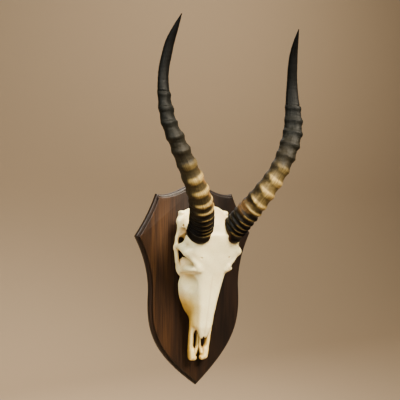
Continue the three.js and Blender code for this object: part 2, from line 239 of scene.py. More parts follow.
def skull_field(points):
    """The sculpted skull. Both halves are alike, so x is taken as its size."""
    p = [np.abs(points[0]), points[1], points[2]]
    d = face(p)
    # eye sockets, and the opening at the back of each
    d = blend_cut(d, ellipsoid(p, (58, 194, 42), (34, 18, 24)), 4)
    d = blend_cut(d, bar(p, [(54, 207, 48, 6), (30, 207, 4, 7)]), 3)
    # braincase and temples
    d = blend_union(d, blend_cut(ellipsoid(p, (0, 253, 34), (42, 46, 48)), p[2] - 14, 10), 20)
    d = blend_union(d, ellipsoid(p, (42, 259, 28), (14, 20, 22)), 10)
    # the hollow of the temple, and the slanted gap through it behind the eye
    d = blend_cut(d, ellipsoid(p, (61, 246, 40), (18, 13, 15)), 2)
    slanted = [p[0], p[1] - (p[2] - 34) * 0.4, (p[2] - 34) * 0.28]
    d = blend_cut(d, bar(slanted, [(64, 226, 0, 7), (44, 241, 0, 6.5)]), 3)
    # pedicles that carry the horns
    d = blend_union(d, bar(p, [(29, 240, 54, 18), (34, 253, 65, 20)]), 9)
    d = blend_union(d, ellipsoid(p, (44, 237, 59), (12.5, 13, 12)), 8)
    # nuchal crest and the back of the skull
    crest = [(0, 296, 27, 6), (26, 291, 23, 6), (46, 281, 19, 6), (51, 270, 19, 6)]
    d = blend_union(d, bar(p, crest), 8)
    d = blend_union(d, bar(p, [(9, 280, 14, 9), (13, 290, 11, 8)]), 8)
    d = blend_union(d, bar(p, [(38, 270, 22, 8), (33, 276, -2, 6.5)]), 6)
    d = blend_union(d, bar(p, [(0, 280, 16, 11), (0, 215, 18, 10)]), 10)
    d = blend_union(d, ellipsoid(p, (25, 254, 12), (10, 14, 10)), 6)
    # brow, and the plate behind the eye
    brow = [(28, 180, 60, 1.6), (32.5, 187, 62, 2.4), (41, 196, 62, 2.8), (53, 212, 58, 5.4)]
    d = blend_union(d, bar(p, brow), 9)
    d = blend_union(d, bar(p, [(54, 214, 57, 7), (58, 222, 42, 6.4), (56, 221, 20, 4)]), 8)
    d = blend_union(d, bar(p, [(56, 223, 45, 5), (46, 240, 58, 6)]), 6)
    # cheek bones and zygomatic arches
    cheek = [(36, 156, 14, 6), (44, 173, 16, 4.8), (53, 191, 17, 4.2), (57, 218, 18, 3.4)]
    d = blend_union(d, bar(p, cheek), 5)
    d = blend_union(d, bar(p, [(57, 218, 18, 3.4), (56.5, 238, 20, 3.2), (50, 258, 24, 6)]), 5)
    # upper jaw over the teeth, the vault of the palate and the hollow behind it
    d = blend_union(d, bar(p, [(22, 104, 12, 6), (29, 150, 12, 9), (32, 176, 15, 8)]), 8)
    d = blend_union(d, ellipsoid(p, (35, 181, 13), (19, 19, 10)), 4)
    d = blend_cut(d, ellipsoid(p, (0, 140, 2), (18, 74, 13)), 6)
    d = blend_cut(d, ellipsoid(p, (0, 210, 4), (15, 24, 12)), 5)
    # hollow in front of the eye, the ridge between it and the socket, and the socket's lower rim
    d = blend_cut(d, ellipsoid(p, (47, 153, 35), (24.5, 23.5, 24)), 4)
    ridge = [(42, 176, 20, 3.8), (40, 177, 34, 3), (34, 178, 50, 2.6), (24, 178, 60, 1.2)]
    d = blend_union(d, bar(p, ridge), 2.5)
    d = blend_union(d, ellipsoid(p, (37, 180.5, 40), (10.5, 6, 21)), 9)
    # nose: opening under the nasal bones, then the two bones that reach past it
    d = blend_cut(d, ellipsoid(p, (0, 56, 19), (14, 40, 9.5)), 4)
    flat = [p[0] / 1.6, p[1], p[2]]
    nasal = [(4.6, 96, 34, 4.8), (4.2, 68, 31.5, 5), (3.4, 56, 29.5, 3.2), (2.6, 47.5, 27.5, 1.6)]
    d = blend_union(d, bar(flat, nasal), 3)
    # front of the upper jaw: on each side a bar with a broad end, and the middle rods between them
    side_bar = [(15, 104, 20, 6), (17, 84, 19, 6.4), (19, 57, 14, 5.2), (18, 30, 9, 5.2), (14.5, 7, 7, 6.4)]
    d = blend_union(d, bar(p, side_bar), 6)
    d = blend_union(d, bar(p, [(13, 100, 28, 6), (14.5, 72, 25, 5)]), 6)
    d = blend_union(d, bar(p, [(14, 19, 8, 5.8), (12, 8, 6.8, 6.4), (8.5, 4.5, 6.5, 5.6)]), 4)
    middle_rod = [(3.2, 78, 10, 4.2), (2.4, 40, 7.5, 2.7), (2.8, 27, 7.2, 2.9), (7, 14, 6.8, 3.8)]
    d = blend_union(d, bar(p, middle_rod), 2)
    # small openings at the temple and over the eye, and the ragged end of the nuchal crest
    d = blend_cut(d, ellipsoid(p, (54, 261, 40), (6, 2.4, 2.4)), 1)
    d = blend_cut(d, ellipsoid(p, (29, 203, 72), (1.5, 1.5, 5)), 0.6)
    d = blend_union(d, ellipsoid(p, (48, 285, 20), (5, 4, 7)), 4)
    # grown unevenness, under half a millimetre, different on the two sides
    x, u, v = points
    waves = np.sin(x / 5.1 + u / 8.3) * np.sin(u / 6.7 - v / 5.9) + np.sin(x / 9.7 - u / 13 + v / 7.9)
    return d + GROWN_UNEVENNESS * waves


def slope_of(field, points, step=0.25):
    """Values and slopes of a field at points given as three rows."""
    value = field(points)
    slopes = []
    for axis in range(3):
        ahead = [c + step if i == axis else c for i, c in enumerate(points)]
        slopes.append((field(ahead) - value) / step)
    return value, np.array(slopes)


def field_mesh(field, low, high, cell, even_rounds=2):
    """Points and quads of a field's zero level: a corner in each grid cell that the surface crosses."""
    axes = [np.arange(a, b + cell, cell, dtype=np.float32) for a, b in zip(low, high)]
    value = field(np.meshgrid(*axes, indexing="ij")).astype(np.float32)
    # where solid corners touch only across a diagonal, the other two are filled, so that skins never touch
    for p, q in ((0, 1), (0, 2), (1, 2)) * FILL_ROUNDS:
        corner_views = []
        for dp, dq in ((0, 0), (1, 1), (0, 1), (1, 0)):
            cut = [slice(None)] * 3
            cut[p] = slice(dp, value.shape[p] - 1 + dp)
            cut[q] = slice(dq, value.shape[q] - 1 + dq)
            corner_views.append(value[tuple(cut)])
        a, b, c, d = (view < 0 for view in corner_views)
        pinched = (a == b) & (c == d) & (a != c)
        for view in corner_views:
            view[pinched & (view >= 0)] = -FILL_DEPTH * cell
    inside = value < 0
    cells = tuple(n - 1 for n in value.shape)
    corners = [(a, b, c) for a in (0, 1) for b in (0, 1) for c in (0, 1)]

    def shifted(array, corner):
        return array[tuple(slice(c, c + n) for c, n in zip(corner, cells))]

    filled = sum(shifted(inside, c).astype(np.int8) for c in corners)
    mixed = (filled > 0) & (filled < 8)
    number = np.full(cells, -1, dtype=np.int64)
    number[mixed] = np.arange(mixed.sum())

    places = np.argwhere(mixed).astype(np.float32)
    total = np.zeros_like(places)
    count = np.zeros(len(places), dtype=np.float32)
    corner_values = {c: shifted(value, c)[mixed] for c in corners}
    for a in corners:
        for axis in range(3):
            if a[axis]:
                continue
            b = tuple(1 if i == axis else c for i, c in enumerate(a))
            va, vb = corner_values[a], corner_values[b]
            crossed = (va < 0) != (vb < 0)
            t = np.where(crossed, va / np.where(crossed, va - vb, 1), 0)
            for i in range(3):
                total[:, i] += crossed * (a[i] + (t if i == axis else 0))
            count += crossed
    points = np.asarray(low, dtype=np.float32) + (places + total / count[:, None]) * cell

    quads = []
    for axis in range(3):
        p, q = (axis + 1) % 3, (axis + 2) % 3
        here = tuple(slice(0, -1) if i == axis else slice(1, -1) for i in range(3))
        there = tuple(slice(1, None) if i == axis else slice(1, -1) for i in range(3))
        at = np.argwhere(inside[here] != inside[there])
        at[:, p] += 1
        at[:, q] += 1
        ring = []
        for dp, dq in ((1, 1), (0, 1), (0, 0), (1, 0)):
            cell_at = at.copy()
            cell_at[:, p] -= dp
            cell_at[:, q] -= dq
            ring.append(number[tuple(cell_at.T)])
        quad = np.stack(ring, axis=1)
        outward = inside[tuple(at.T)]
        quads.append(np.where(outward[:, None], quad, quad[:, ::-1]))
    quads = np.concatenate(quads)

    for _ in range(even_rounds):
        near = np.zeros_like(points)
        links = np.zeros(len(points), dtype=np.float32)
        for k in range(4):
            for other in (quads[:, (k + 1) % 4], quads[:, (k + 3) % 4]):
                np.add.at(near, quads[:, k], points[other])
                np.add.at(links, quads[:, k], 1)
        points = points * 0.5 + near / links[:, None] * 0.5
        d, slope = slope_of(field, points.T)
        steep = np.maximum((slope**2).sum(axis=0), 0.2)
        points = points - (slope * np.clip(d / steep, -cell, cell)).T
    return points, quads


# Settings of the nodes that add, multiply and mix
ADD = {"operation": "ADD"}
MULTIPLY = {"operation": "MULTIPLY"}
MULTIPLY_ADD = {"operation": "MULTIPLY_ADD"}
SUBTRACT = {"operation": "SUBTRACT"}
COLOUR_MIX = {"data_type": "RGBA", "blend_type": "MIX"}
COLOUR_DARKEN = {"data_type": "RGBA", "blend_type": "MULTIPLY"}
STORED_NUMBER = {"data_type": "FLOAT", "domain": "POINT"}


# Materials
def start_material(name):
    material = bpy.data.materials.new(name)
    material.use_nodes = True
    tree = material.node_tree
    return material, tree, tree.nodes["Principled BSDF"]


def bleached_bone():
    """Bleached bone: dry, cream and finely pitted. Fat leaves it yellow low down; painted shade makes the
    snout's sides yellower and darker, and its hollows and creases tan.
    """
    material, tree, shader = start_material("bleached_bone")
    place = add_node(tree, "ShaderNodeTexCoord")["Object"]
    yellow, stain, painted_shade_dust_and_seam = (
        add_node(tree, "ShaderNodeAttribute", {"attribute_name": name})["Fac"]
        for name in ("yellow", "stain", "painted_shade_dust_and_seam")
    )
    # blotches 22 mm wide, and pores 1.6 mm wide: coarser than real pores, so that they show
    blotch, pores = (
        add_node(
            tree,
            "ShaderNodeTexNoise",
            inputs={"Vector": place, "Scale": 1 / (width * MM), "Detail": detail},
        )["Fac"]
        for width, detail in ((22, 4.0), (1.6, 3.0))
    )
    patchy = add_node(tree, "ShaderNodeMath", MULTIPLY_ADD, {0: blotch, 1: 0.5, 2: yellow})[0]
    shifted = add_node(tree, "ShaderNodeMath", SUBTRACT, {0: patchy, 1: 0.25})[0]
    cream = add_node(
        tree,
        "ShaderNodeValToRGB",
        inputs={"Fac": shifted},
        stops=[(0.0, "#f7ebb8"), (0.35, "#ead592"), (0.7, "#c9a850"), (1.0, "#a67f28")],
    )["Color"]
    stained = add_node(tree, "ShaderNodeMix", COLOUR_MIX, {0: stain, 6: cream, 7: linear("#b9802f")})[2]
    # painted shade: hollows, creases and the crown behind the horns are painted darker tan, along with the
    # nasal seam and a little dust
    with_painted_shade = add_node(tree, "ShaderNodeMix", COLOUR_MIX, {0: painted_shade_dust_and_seam, 6: stained, 7: linear("#a88549")})[2]
    speckled = add_node(
        tree, "ShaderNodeValToRGB", inputs={"Fac": pores}, stops=[(0.3, "#dccfae"), (0.55, "#ffffff")]
    )["Color"]
    colour = add_node(tree, "ShaderNodeMix", COLOUR_DARKEN, {0: 0.5, 6: with_painted_shade, 7: speckled})[2]
    tree.links.new(colour, shader.inputs["Base Color"])
    shader.inputs["Roughness"].default_value = 0.52
    shader.inputs["IOR"].default_value = 1.54
    shader.inputs["Subsurface Weight"].default_value = 0.06
    shader.inputs["Subsurface Radius"].default_value = (3 * MM, 2 * MM, 1.2 * MM)
    shader.inputs["Subsurface Scale"].default_value = 1.0
    pitted = add_node(
        tree, "ShaderNodeBump", inputs={"Height": pores, "Strength": 0.25, "Distance": 0.4 * MM}
    )["Normal"]
    tree.links.new(pitted, shader.inputs["Normal"])
    return material


def horn_keratin():
    """Horn: keratin grown in long fibres. Satin black near the tip, straw coloured on its worn ridges."""
    material, tree, shader = start_material("horn_keratin")
    along, around, straw, fibre, rim = (
        add_node(tree, "ShaderNodeAttribute", {"attribute_name": name})["Fac"]
        for name in ("along", "around", "straw", "fibre", "rim")
    )
    # fibres run up the horn, 1.2 mm apart and 40 mm long: coarser than real fibres, so that they show
    across = add_node(tree, "ShaderNodeMath", MULTIPLY, {0: around, 1: 20 / 1.2})[0]
    upwards = add_node(tree, "ShaderNodeMath", MULTIPLY, {0: along, 1: 1 / (40 * MM)})[0]
    strand = add_node(tree, "ShaderNodeCombineXYZ", inputs={"X": across, "Y": upwards})[0]
    fibres = add_node(
        tree,
        "ShaderNodeTexNoise",
        inputs={"Vector": strand, "Scale": 1.0, "Detail": 3.0, "Roughness": 0.6},
    )["Fac"]
    place = add_node(tree, "ShaderNodeTexCoord")["Object"]
    cloud = add_node(
        tree, "ShaderNodeTexNoise", inputs={"Vector": place, "Scale": 1 / (14 * MM), "Detail": 3.0}
    )["Fac"]

    height = add_node(tree, "ShaderNodeMapRange", inputs={"Value": along, "From Max": 440 * MM})[0]
    uneven = add_node(tree, "ShaderNodeMath", MULTIPLY_ADD, {0: cloud, 1: 0.12, 2: height})[0]
    ground = add_node(
        tree,
        "ShaderNodeValToRGB",
        inputs={"Fac": uneven},
        stops=[
            (0.16, "#070504"),
            (0.25, "#1f190f"),
            (0.36, "#342b1a"),
            (0.46, "#282318"),
            (0.6, "#171713"),
            (0.8, "#0a0a08"),
            (1.0, "#060504"),
        ],
    )["Color"]
    shade, straw_tone, tan_tone = (
        add_node(tree, "ShaderNodeValToRGB", inputs={"Fac": fibres}, stops=stops)["Color"]
        for stops in (
            [(0.3, "#4c463c"), (0.65, "#ffffff")],
            [(0.3, "#5a4a28"), (0.5, "#8a7340"), (0.72, "#b59d62")],
            [(0.3, "#4e3018"), (0.5, "#866036"), (0.7, "#b08c56")],
        )
    )
    streaked = add_node(tree, "ShaderNodeMix", COLOUR_DARKEN, {0: 0.75, 6: ground, 7: shade})[2]
    banded = add_node(tree, "ShaderNodeMix", COLOUR_MIX, {0: straw, 6: streaked, 7: straw_tone})[2]
    frayed = add_node(tree, "ShaderNodeMix", COLOUR_MIX, {0: fibre, 6: banded, 7: tan_tone})[2]
    rimmed = add_node(tree, "ShaderNodeMix", COLOUR_MIX, {0: rim, 6: frayed, 7: linear("#4a2f1a")})[2]
    tree.links.new(rimmed, shader.inputs["Base Color"])
    rough = add_node(
        tree, "ShaderNodeMapRange", inputs={"Value": height, "To Min": 0.5, "To Max": 0.62}
    )[0]
    tree.links.new(rough, shader.inputs["Roughness"])
    shader.inputs["IOR"].default_value = 1.54
    shader.inputs["Specular IOR Level"].default_value = 0.09
    grooved = add_node(
        tree, "ShaderNodeBump", inputs={"Height": fibres, "Strength": 0.5, "Distance": 0.8 * MM}
    )["Normal"]
    tree.links.new(grooved, shader.inputs["Normal"])
    return material


def stained_walnut():
    """Walnut with a dark stain and satin lacquer: long upright grain, amber where the stain is thin."""
    material, tree, shader = start_material("stained_walnut")
    place = add_node(tree, "ShaderNodeTexCoord")["Object"]
    # broad figure 26 mm wide, and grain 2.4 mm wide: coarser than real grain, so that it shows
    figure_at, grain_at = (
        add_node(
            tree,
            "ShaderNodeMapping",
            inputs={"Vector": place, "Scale": [1 / (size * MM) for size in sizes]},
        )[0]
        for sizes in ((26, 60, 240), (2.4, 8, 90))
    )
    figure = add_node(
        tree,
        "ShaderNodeTexNoise",
        inputs={"Vector": figure_at, "Scale": 1.0, "Detail": 3.0, "Distortion": 0.6},
    )["Fac"]
    grain = add_node(
        tree,
        "ShaderNodeTexNoise",
        inputs={"Vector": grain_at, "Scale": 1.0, "Detail": 4.0, "Roughness": 0.6},
    )["Fac"]
    # the board is lighter on its left and darker on its right
    across = add_node(tree, "ShaderNodeSeparateXYZ", inputs={"Vector": place})
    tone = add_node(
        tree,
        "ShaderNodeMapRange",
        inputs={
            "Value": across["X"],
            "From Min": -90 * MM,
            "From Max": 50 * MM,
            "To Min": 0.37,
            "To Max": 0.09,
        },
    )[0]
    uneven = add_node(tree, "ShaderNodeMath", MULTIPLY_ADD, {0: figure, 1: 0.5, 2: tone})[0]
    body = add_node(
        tree,
        "ShaderNodeValToRGB",
        inputs={"Fac": uneven},
        stops=[(0.22, "#0c0705"), (0.42, "#1b1009"), (0.58, "#2d1b0d"), (0.78, "#4a2f14")],
    )["Color"]
    lines = add_node(
        tree, "ShaderNodeValToRGB", inputs={"Fac": grain}, stops=[(0.32, "#4a3a30"), (0.6, "#ffffff")]
    )["Color"]
    lined = add_node(tree, "ShaderNodeMix", COLOUR_DARKEN, {0: 0.75, 6: body, 7: lines})[2]
    # the moulded edge, behind the face, is nearly black
    edge = add_node(
        tree,
        "ShaderNodeMapRange",
        inputs={
            "Value": across["Y"],
            "From Min": -13.6 * MM,
            "From Max": -12.6 * MM,
            "To Max": 0.8,
        },
    )[0]
    darkened = add_node(tree, "ShaderNodeMix", COLOUR_MIX, {0: edge, 6: lined, 7: linear("#150c08")})[2]
    tree.links.new(darkened, shader.inputs["Base Color"])
    shader.inputs["Roughness"].default_value = 0.5
    shader.inputs["Specular IOR Level"].default_value = 0.16
    shader.inputs["IOR"].default_value = 1.5
    shader.inputs["Coat Weight"].default_value = 0.1
    shader.inputs["Coat Roughness"].default_value = 0.14
    grained = add_node(
        tree, "ShaderNodeBump", inputs={"Height": grain, "Strength": 0.12, "Distance": 0.3 * MM}
    )["Normal"]
    tree.links.new(grained, shader.inputs["Normal"])
    return material


def yellowed_enamel():
    """Tooth enamel, yellowed with age: glossy, with brown lines down the teeth."""
    material, tree, shader = start_material("yellowed_enamel")
    place = add_node(tree, "ShaderNodeTexCoord")["Object"]
    # lines 2 mm wide and 9 mm long, down the teeth
    streak_at = add_node(
        tree,
        "ShaderNodeMapping",
        inputs={"Vector": place, "Scale": (1 / (2 * MM), 1 / (9 * MM), 1 / (2 * MM))},
    )[0]
    streak = add_node(
        tree, "ShaderNodeTexNoise", inputs={"Vector": streak_at, "Scale": 1.0, "Detail": 3.0}
    )["Fac"]
    colour = add_node(
        tree,
        "ShaderNodeValToRGB",
        inputs={"Fac": streak},
        stops=[(0.3, "#6b4a22"), (0.48, "#cbb078"), (0.7, "#e4d6ac")],
    )["Color"]
    tree.links.new(colour, shader.inputs["Base Color"])
    shader.inputs["Roughness"].default_value = 0.28
    shader.inputs["IOR"].default_value = 1.62
    return material


def plain_paint(name, colour, roughness):
    """Matt studio paint: even and without gloss."""
    material, _, shader = start_material(name)
    shader.inputs["Base Color"].default_value = linear(colour)
    shader.inputs["Roughness"].default_value = roughness
    return material


# Skull: the corners of its grid
SKULL_LOW = (-66.15, -5, -HEAD_LIFT - 4.7)
SKULL_HIGH = (66.15, 306, 96)
# Brown stains low on the cheek, in the temple and in the eye socket, as place, reach and share
STAINS = [
    ((38, 126, 8), (12, 13, 14), 0.45),
    ((48, 247, 34), (11, 14, 16), 0.62),
    ((48, 196, 22), (13, 16, 13), 0.5),
]


def make_skull(material):
    points, quads = field_mesh(skull_field, SKULL_LOW, SKULL_HIGH, SKULL_CELL)
    points[:, 2] = np.maximum(points[:, 2], -HEAD_LIFT)
    x, u, v = points.T
    _, slope = slope_of(skull_field, points.T)
    normal = slope / np.sqrt((slope**2).sum(axis=0))
    # painted shade: how shut in each place is, from the room in front of it; shut hollows and creases are
    # painted darker
    wide = skull_field(list(points.T + normal * 10)) / 10
    close = skull_field(list(points.T + normal * 4)) / 4
    painted_shade_dust_and_seam = smooth_step(0.8, 0.0, wide) * 0.4 + smooth_step(0.9, 0.3, close) * 0.4
    # painted shadow of the horns on the crown behind them, with a little dust
    painted_shade_dust_and_seam += np.exp(-(((u - 284) / 30) ** 2)) * smooth_step(20, 50, v) * 0.6
    # the seam between the nasal bones
    painted_shade_dust_and_seam += np.exp(-((x / 1.3) ** 2)) * smooth_step(48, 56, u) * smooth_step(176, 160, u) * (v > 20) * 0.3
    # yellower and darker low down near the board, from yellowing of the bone, and on the sides of the
    # snout, where it is painted shade
    top = smooth_run(FACE_SECTIONS[:, 0], FACE_SECTIONS[:, 4:], u)[0]
    snout = smooth_step(140, 104, u)
    sideways = smooth_step(0.3, 0.85, np.abs(normal[0]))
    yellow = snout * sideways * 0.5 + smooth_step(0.9, 0.3, v / top) * (0.14 + 0.42 * snout)
    stain = np.zeros_like(x)
    for middle, reach, share in STAINS:
        away = [(c - m) / r for c, m, r in zip((np.abs(x), u, v), middle, reach)]
        stain += np.exp(-sum(c * c for c in away)) * np.where(x < 0, share, share * 0.6)
    made = mesh_object("skull_bone", to_trophy(points), quads)
    add_values(made, "yellow", yellow)
    add_values(made, "stain", stain)
    add_values(made, "painted_shade_dust_and_seam", painted_shade_dust_and_seam)
    finish_piece(made, "skull", material)


# Horns: points of the middle line in the skull's frame, each with the radius between the rings
HORN_LINE = np.array(
    [
        [31, 243, 54, 22.5],
        [35, 254, 70, 22],
        [39, 267, 83, 21.6],
        [51, 294, 106, 20.4],
        [67, 322, 123, 18.6],
        [93, 364, 134, 16.2],
        [115.5, 409, 134, 15.2],
        [130, 450, 126, 13.4],
        [134, 516, 115, 10],
        [129, 568, 123.5, 8.4],
        [124, 596, 137, 5.4],
        [119.5, 619, 152.5, 0.8],
    ]
)
HORN_BEND = 254
HORN_STRETCH = {-1: 0.989, 1: 1.018}
# Where the ridges are worn to straw: the way the worn side faces, higher up and at the roots
WORN_FRONT = (0.4, -0.95, 0.0)
WORN_ROOT = {-1: (0.22, -0.66, -0.71), 1: (-0.4, -0.66, -0.63)}
# Share of straw between the ridges: the right horn is olive tan there, the left one darker
BETWEEN_SHARE = {-1: 0.06, 1: 0.26}
# Where the frayed tan strip on the inner side ends
STRIP_END = {-1: 165, 1: 95}
# How far the mouth of the sheath flares where it meets the bone
MOUTH_FLARE = 0.7
# Oval part: how much it grows and shrinks, and its place and reach along the horn
OVAL_DEPTH = 3.2
OVAL_PLACE = 252
OVAL_REACH = 70
HORN_STEPS = 420
HORN_SIDES = 64
RING_COUNT = 16
RING_HEIGHT = 3.3
RINGED_LENGTH = 300
RING_DIP = 4
# Share of the ringed length to share of the rings: close together at the root, then even
RING_PLACES = [
    (0.0, 0.0),
    (0.06, 0.031),
    (0.16, 0.219),
    (0.233, 0.344),
    (0.327, 0.469),
    (0.4, 0.531),
    (0.57, 0.656),
    (0.733, 0.781),
    (1.0, 0.98),
]


def horn_tree():
    """Geometry Nodes: a ringed horn swept along its middle line."""
    tree = bpy.data.node_groups.new("ringed_horn", "GeometryNodeTree")
    tree.interface.new_socket("Geometry", in_out="INPUT", socket_type="NodeSocketGeometry")
    for name in ("Ring height", "Ringed length", "Ring count", "Ring dip"):
        tree.interface.new_socket(name, in_out="INPUT", socket_type="NodeSocketFloat")
    for name in ("Steps", "Sides"):
        tree.interface.new_socket(name, in_out="INPUT", socket_type="NodeSocketInt")
    tree.interface.new_socket("Material", in_out="INPUT", socket_type="NodeSocketMaterial")
    tree.interface.new_socket("Geometry", in_out="OUTPUT", socket_type="NodeSocketGeometry")
    given = tree.nodes.new("NodeGroupInput").outputs

    # the middle line carries its length, and the round section its turn
    line = add_node(
        tree, "GeometryNodeResampleCurve", inputs={"Curve": given["Geometry"], "Count": given["Steps"]}
    )["Curve"]
    section = add_node(
        tree, "GeometryNodeCurvePrimitiveCircle", inputs={"Resolution": given["Sides"], "Radius": 1.0}
    )["Curve"]
    spline = add_node(tree, "GeometryNodeSplineParameter")
    turn = add_node(tree, "ShaderNodeMath", MULTIPLY, {0: spline["Factor"], 1: math.tau})[0]
    measured, turned = (
        add_node(
            tree,
            "GeometryNodeStoreNamedAttribute",
            STORED_NUMBER,
            {"Geometry": curve, "Name": name, "Value": value},
        )["Geometry"]
        for curve, name, value in ((line, "along", spline["Length"]), (section, "around", turn))
    )
    swept = add_node(
        tree,
        "GeometryNodeCurveToMesh",
        inputs={
            "Curve": measured,
            "Profile Curve": turned,
            "Scale": add_node(tree, "GeometryNodeInputRadius")[0],
            "Fill Caps": True,
        },
    )["Mesh"]

    # facing is 1 on the front of the horn and -1 on its back
    normal = add_node(tree, "GeometryNodeInputNormal")["Normal"]
    towards = add_node(
        tree, "ShaderNodeVectorMath", {"operation": "DOT_PRODUCT"}, {0: normal, 1: (0.0, -1.0, 0.0)}
    )["Value"]
    faced = add_node(
        tree,
        "GeometryNodeStoreNamedAttribute",
        STORED_NUMBER,
        {"Geometry": swept, "Name": "facing", "Value": towards},
    )["Geometry"]
    along, facing = (
        add_node(tree, "GeometryNodeInputNamedAttribute", {"data_type": "FLOAT"}, {"Name": name})[0]
        for name in ("along", "facing")
    )

    # each ring dips towards the root on the front
    dipped = add_node(
        tree, "ShaderNodeMath", MULTIPLY_ADD, {0: facing, 1: given["Ring dip"], 2: along}
    )[0]
    level = add_node(
        tree, "ShaderNodeMath", {"operation": "DIVIDE"}, {0: dipped, 1: given["Ringed length"]}
    )[0]
    spread = add_node(tree, "ShaderNodeFloatCurve", inputs={"Value": level})[0]
    mapping = spread.node.mapping
    curve_points = mapping.curves[0].points
    while len(curve_points) < len(RING_PLACES):
        curve_points.new(0.5, 0.5)
    for point, place in zip(curve_points, RING_PLACES):
        point.location = place
    mapping.update()

    # a crest in the middle of each ring, from one end of the ringed length to the other
    number = add_node(tree, "ShaderNodeMath", MULTIPLY, {0: spread, 1: given["Ring count"]})[0]
    part = add_node(tree, "ShaderNodeMath", {"operation": "FRACT"}, {0: number})[0]
    half_turn = add_node(tree, "ShaderNodeMath", MULTIPLY, {0: part, 1: math.pi})[0]
    wave = add_node(tree, "ShaderNodeMath", {"operation": "SINE"}, {0: half_turn})[0]
    sharp = add_node(tree, "ShaderNodeMath", {"operation": "POWER"}, {0: wave, 1: 3.0})[0]
    started = add_node(tree, "ShaderNodeMath", {"operation": "GREATER_THAN"}, {0: level, 1: 0.0})[0]
    unended = add_node(tree, "ShaderNodeMath", {"operation": "LESS_THAN"}, {0: level, 1: 1.0})[0]
    ringed = add_node(tree, "ShaderNodeMath", MULTIPLY, {0: started, 1: unended})[0]
    crest = add_node(tree, "ShaderNodeMath", MULTIPLY, {0: sharp, 1: ringed})[0]

    # rings stand out most on the front, and fade towards the tip
    fade = add_node(
        tree,
        "ShaderNodeMapRange",
        inputs={"Value": level, "From Min": 0.75, "From Max": 1.0, "To Min": 1.0, "To Max": 0.75},
    )[0]
    frontal = add_node(tree, "ShaderNodeMath", MULTIPLY_ADD, {0: facing, 1: 0.38, 2: 0.62})[0]
    strength = add_node(tree, "ShaderNodeMath", MULTIPLY, {0: frontal, 1: fade})[0]
    share = add_node(tree, "ShaderNodeMath", MULTIPLY, {0: crest, 1: strength})[0]
    rise = add_node(tree, "ShaderNodeMath", MULTIPLY, {0: share, 1: given["Ring height"]})[0]

    # shallow grooves along the fibres, about 5 mm apart, and wrinkles across them, about 4 mm apart
    position = add_node(tree, "GeometryNodeInputPosition")[0]
    relief = []
    for stretch, spacing, depth in (((1.0, 1.0, 0.12), 5, 0.9), ((0.2, 0.2, 1.0), 4, 1.1)):
        stretched = add_node(tree, "ShaderNodeVectorMath", MULTIPLY, {0: position, 1: stretch})[0]
        uneven = add_node(
            tree,
            "ShaderNodeTexNoise",
            inputs={"Vector": stretched, "Scale": 1 / (spacing * MM), "Detail": 2.0},
        )["Fac"]
        centred = add_node(tree, "ShaderNodeMath", SUBTRACT, {0: uneven, 1: 0.5})[0]
        relief.append(add_node(tree, "ShaderNodeMath", MULTIPLY, {0: centred, 1: depth * MM})[0])
    dent = add_node(tree, "ShaderNodeMath", ADD, {0: relief[0], 1: relief[1]})[0]
    uneven_rise = add_node(tree, "ShaderNodeMath", ADD, {0: rise, 1: dent})[0]

    # the relief ends before the tip, which is smooth
    reach = add_node(
        tree, "ShaderNodeMapRange", inputs={"Value": along, "From Min": 0.44, "From Max": 0.36}
    )[0]
    height = add_node(tree, "ShaderNodeMath", MULTIPLY, {0: uneven_rise, 1: reach})[0]
    offset = add_node(
        tree, "ShaderNodeVectorMath", {"operation": "SCALE"}, {0: normal, "Scale": height}
    )[0]
    crested = add_node(
        tree,
        "GeometryNodeStoreNamedAttribute",
        STORED_NUMBER,
        {"Geometry": faced, "Name": "crest", "Value": crest},
    )["Geometry"]
    raised = add_node(tree, "GeometryNodeSetPosition", inputs={"Geometry": crested, "Offset": offset})[0]
    whole = add_node(tree, "GeometryNodeRealizeInstances", inputs={"Geometry": raised})[0]
    dressed = add_node(
        tree, "GeometryNodeSetMaterial", inputs={"Geometry": whole, "Material": given["Material"]}
    )[0]
    add_node(tree, "NodeGroupOutput", inputs={0: dressed})
    return tree


def horn_line(side):
    """The middle line as a poly curve in the trophy's frame, with its radius."""
    steps = np.linspace(0, len(HORN_LINE) - 1, 90)
    columns = smooth_run(np.arange(len(HORN_LINE), dtype=float), HORN_LINE, steps)
    x, u, v, radius = columns
    u = np.where(u > HORN_BEND, HORN_BEND + (u - HORN_BEND) * HORN_STRETCH[side], u)
    places = to_trophy(np.stack([side * x, u, v], axis=1))
    curve = bpy.data.curves.new("horn_line", "CURVE")
    curve.dimensions = "3D"
    spline = curve.splines.new("POLY")
    spline.points.add(len(places) - 1)
    for point, place, size in zip(spline.points, places, radius):
        point.co = (*place, 1)
        point.radius = size * MM
    made = bpy.data.objects.new("horn_line", curve)
    bpy.context.collection.objects.link(made)
    return made


